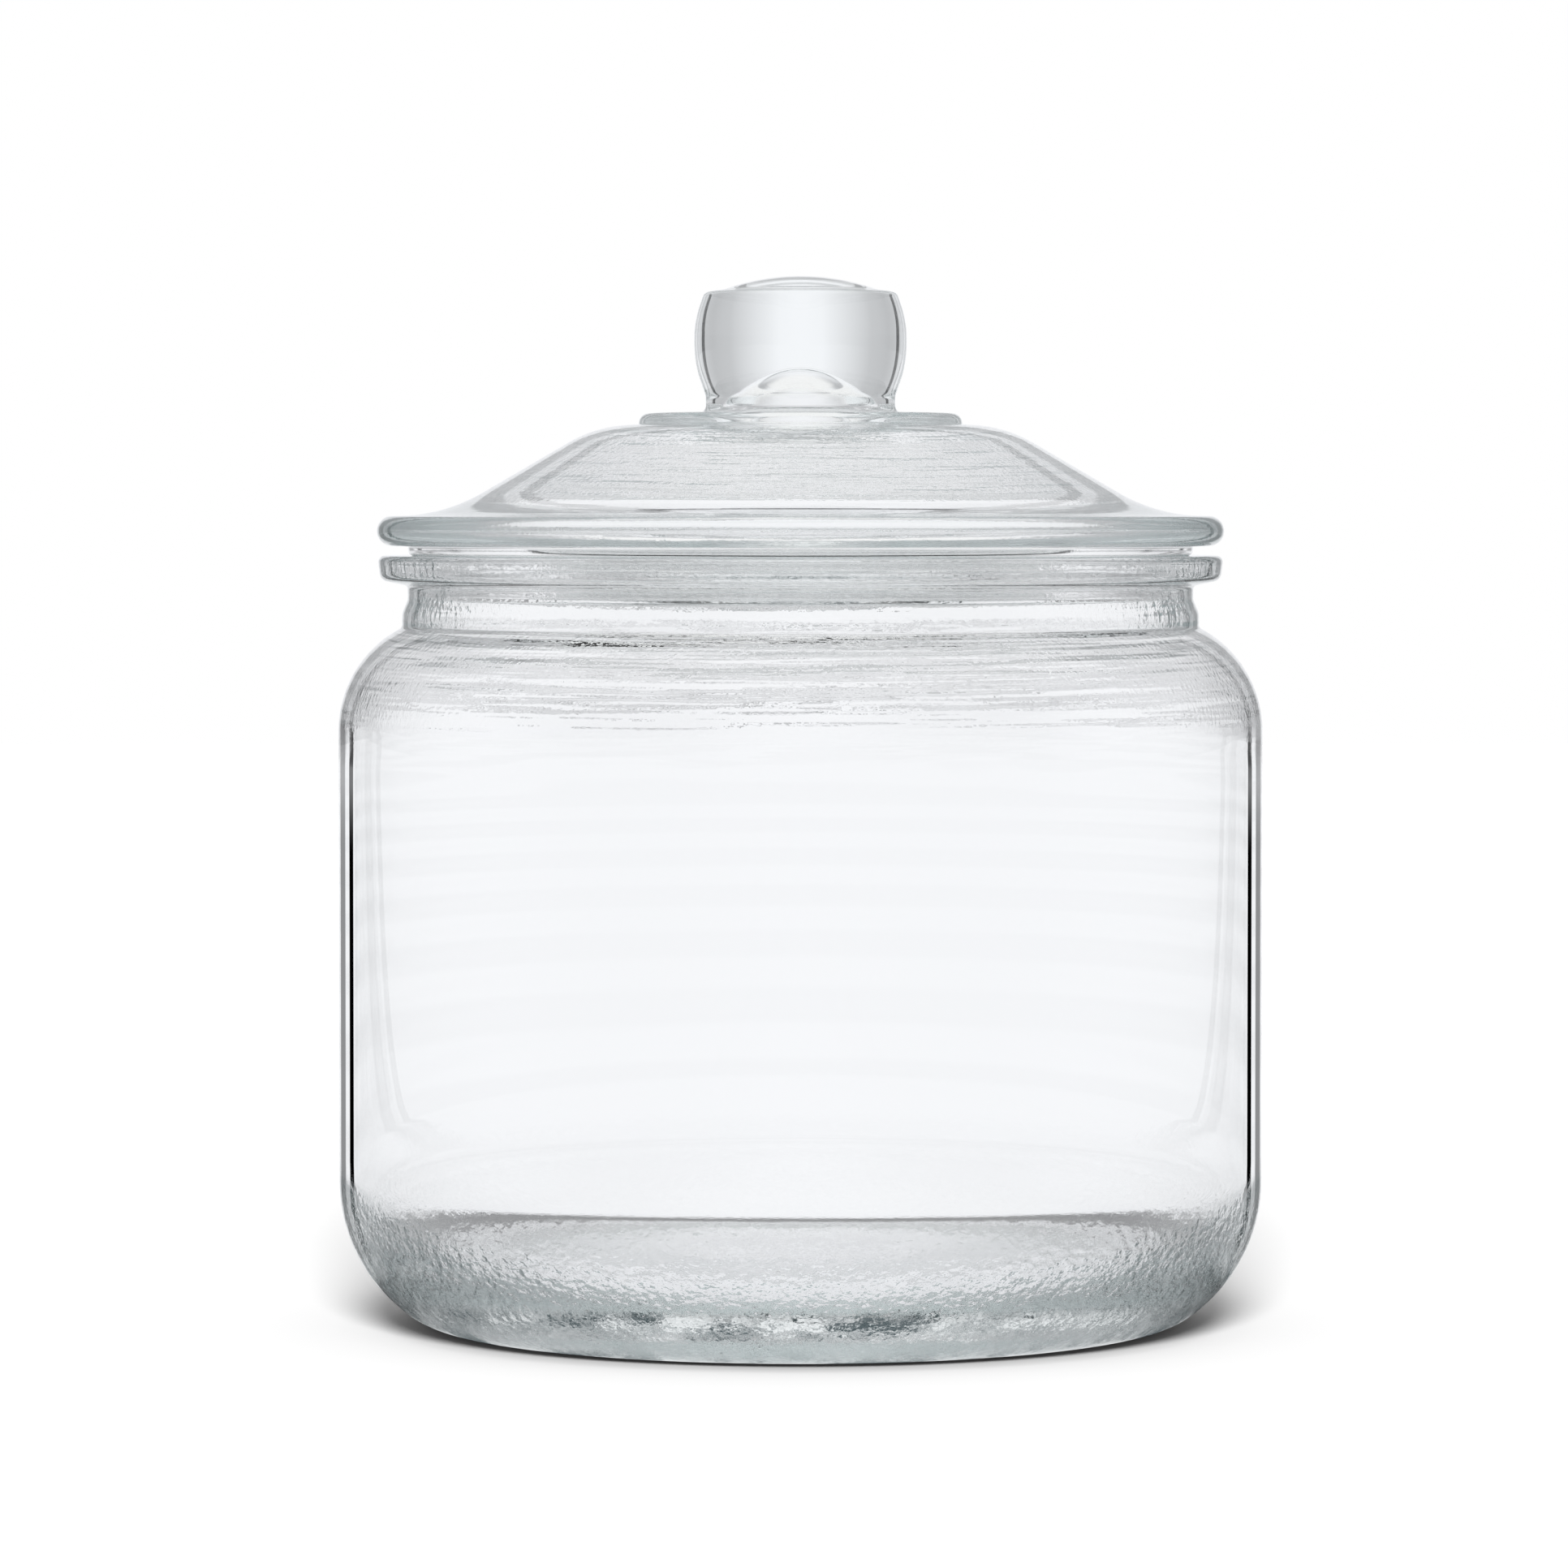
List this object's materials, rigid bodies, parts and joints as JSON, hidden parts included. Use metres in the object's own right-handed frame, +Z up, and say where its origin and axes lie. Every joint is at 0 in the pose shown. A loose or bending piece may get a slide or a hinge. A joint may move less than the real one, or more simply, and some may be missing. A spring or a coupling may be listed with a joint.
{
  "type": "lidded glass canister",
  "caption": "Clear glass storage jar with rounded shoulder and base, a domed glass lid with a solid knob, and a clear finned seal ring round the lid's plug.",
  "frame": {"origin": "centre of the ring that the jar stands on, at the level of the table", "axes": "+Z up along the axis of the jar and lid, towards the knob; the object is round about Z, so X and Y are free"},
  "size_m": [0.16, 0.16, 0.1816],
  "materials": {
    "jar_glass": "clear pressed glass, fire polished, faintly green where it is thick",
    "lid_glass": "clear pressed glass with a fine chill texture, faintly green where it is thick",
    "seal_rubber": "clear to milky soft moulded ring, satin"
  },
  "bodies": {
    "jar": {"glass_jar": "jar_glass"},
    "seal": {"seal_ring": "seal_rubber"},
    "lid": {"glass_lid": "lid_glass"}
  },
  "joints": [
    {"name": "lid_lift", "type": "slide", "parent": "jar", "child": "seal", "axis": [0, 0, 1], "range_m": [0, 0.12]},
    {"name": "seal_pull", "type": "slide", "parent": "seal", "child": "lid", "axis": [0, 0, 1], "range_m": [0, 0.04]}
  ]
}
